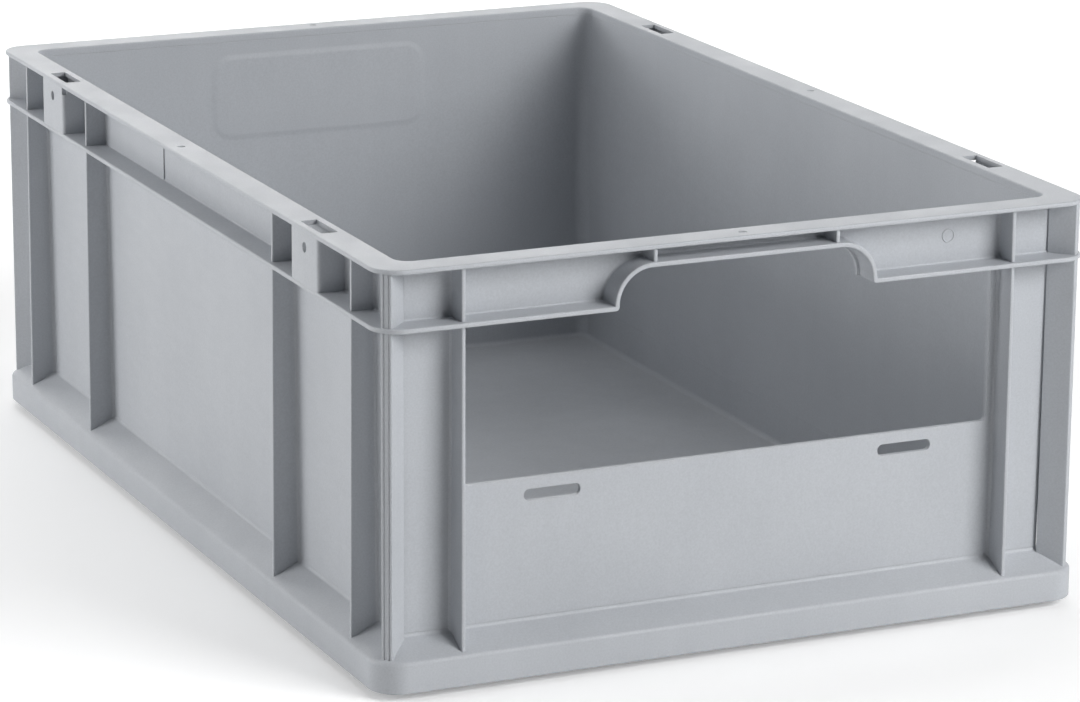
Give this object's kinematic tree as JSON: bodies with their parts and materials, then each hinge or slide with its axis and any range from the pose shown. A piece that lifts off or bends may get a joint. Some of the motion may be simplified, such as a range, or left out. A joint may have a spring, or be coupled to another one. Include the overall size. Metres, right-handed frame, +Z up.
{
  "type": "stacking crate with picking opening",
  "caption": "Rigid open-topped stacking crate with ribbed walls, a flat rim and a picking opening in one short side.",
  "frame": {"origin": "middle of the footprint, on the ground under the stacking foot", "axes": "+Z up out of the open top, +Y along the crate from the picking side towards the closed short side, +X across it"},
  "size_m": [0.4, 0.6, 0.22],
  "materials": {
    "crate_plastic": "fine matt moulded polypropylene"
  },
  "bodies": {
    "root": {"base_skirt": "crate_plastic", "corner_fin_front_left": "crate_plastic", "corner_fin_front_right": "crate_plastic", "corner_fin_rear_left": "crate_plastic", "corner_fin_rear_right": "crate_plastic", "corner_wall_front_left": "crate_plastic", "corner_wall_front_right": "crate_plastic", "corner_wall_rear_left": "crate_plastic", "corner_wall_rear_right": "crate_plastic", "end_rib_front_left": "crate_plastic", "end_rib_front_right": "crate_plastic", "end_rib_rear_left": "crate_plastic", "end_rib_rear_right": "crate_plastic", "floor_panel": "crate_plastic", "front_header": "crate_plastic", "front_post_left": "crate_plastic", "front_post_right": "crate_plastic", "front_sill": "crate_plastic", "grip_arch_front": "crate_plastic", "grip_arch_rear": "crate_plastic", "grip_cup": "crate_plastic", "grip_web_front_left": "crate_plastic", "grip_web_front_right": "crate_plastic", "grip_web_rear_left": "crate_plastic", "grip_web_rear_right": "crate_plastic", "latch_pocket_front_left": "crate_plastic", "latch_pocket_front_right": "crate_plastic", "latch_pocket_rear_left": "crate_plastic", "latch_pocket_rear_right": "crate_plastic", "rail_left": "crate_plastic", "rail_right": "crate_plastic", "rim_flange": "crate_plastic", "side_rib_left_front_1": "crate_plastic", "side_rib_left_front_2": "crate_plastic", "side_rib_left_rear_1": "crate_plastic", "side_rib_left_rear_2": "crate_plastic", "side_rib_right_front_1": "crate_plastic", "side_rib_right_front_2": "crate_plastic", "side_rib_right_rear_1": "crate_plastic", "side_rib_right_rear_2": "crate_plastic", "stacking_foot": "crate_plastic", "wall_left": "crate_plastic", "wall_rear": "crate_plastic", "wall_right": "crate_plastic"}
  },
  "joints": []
}
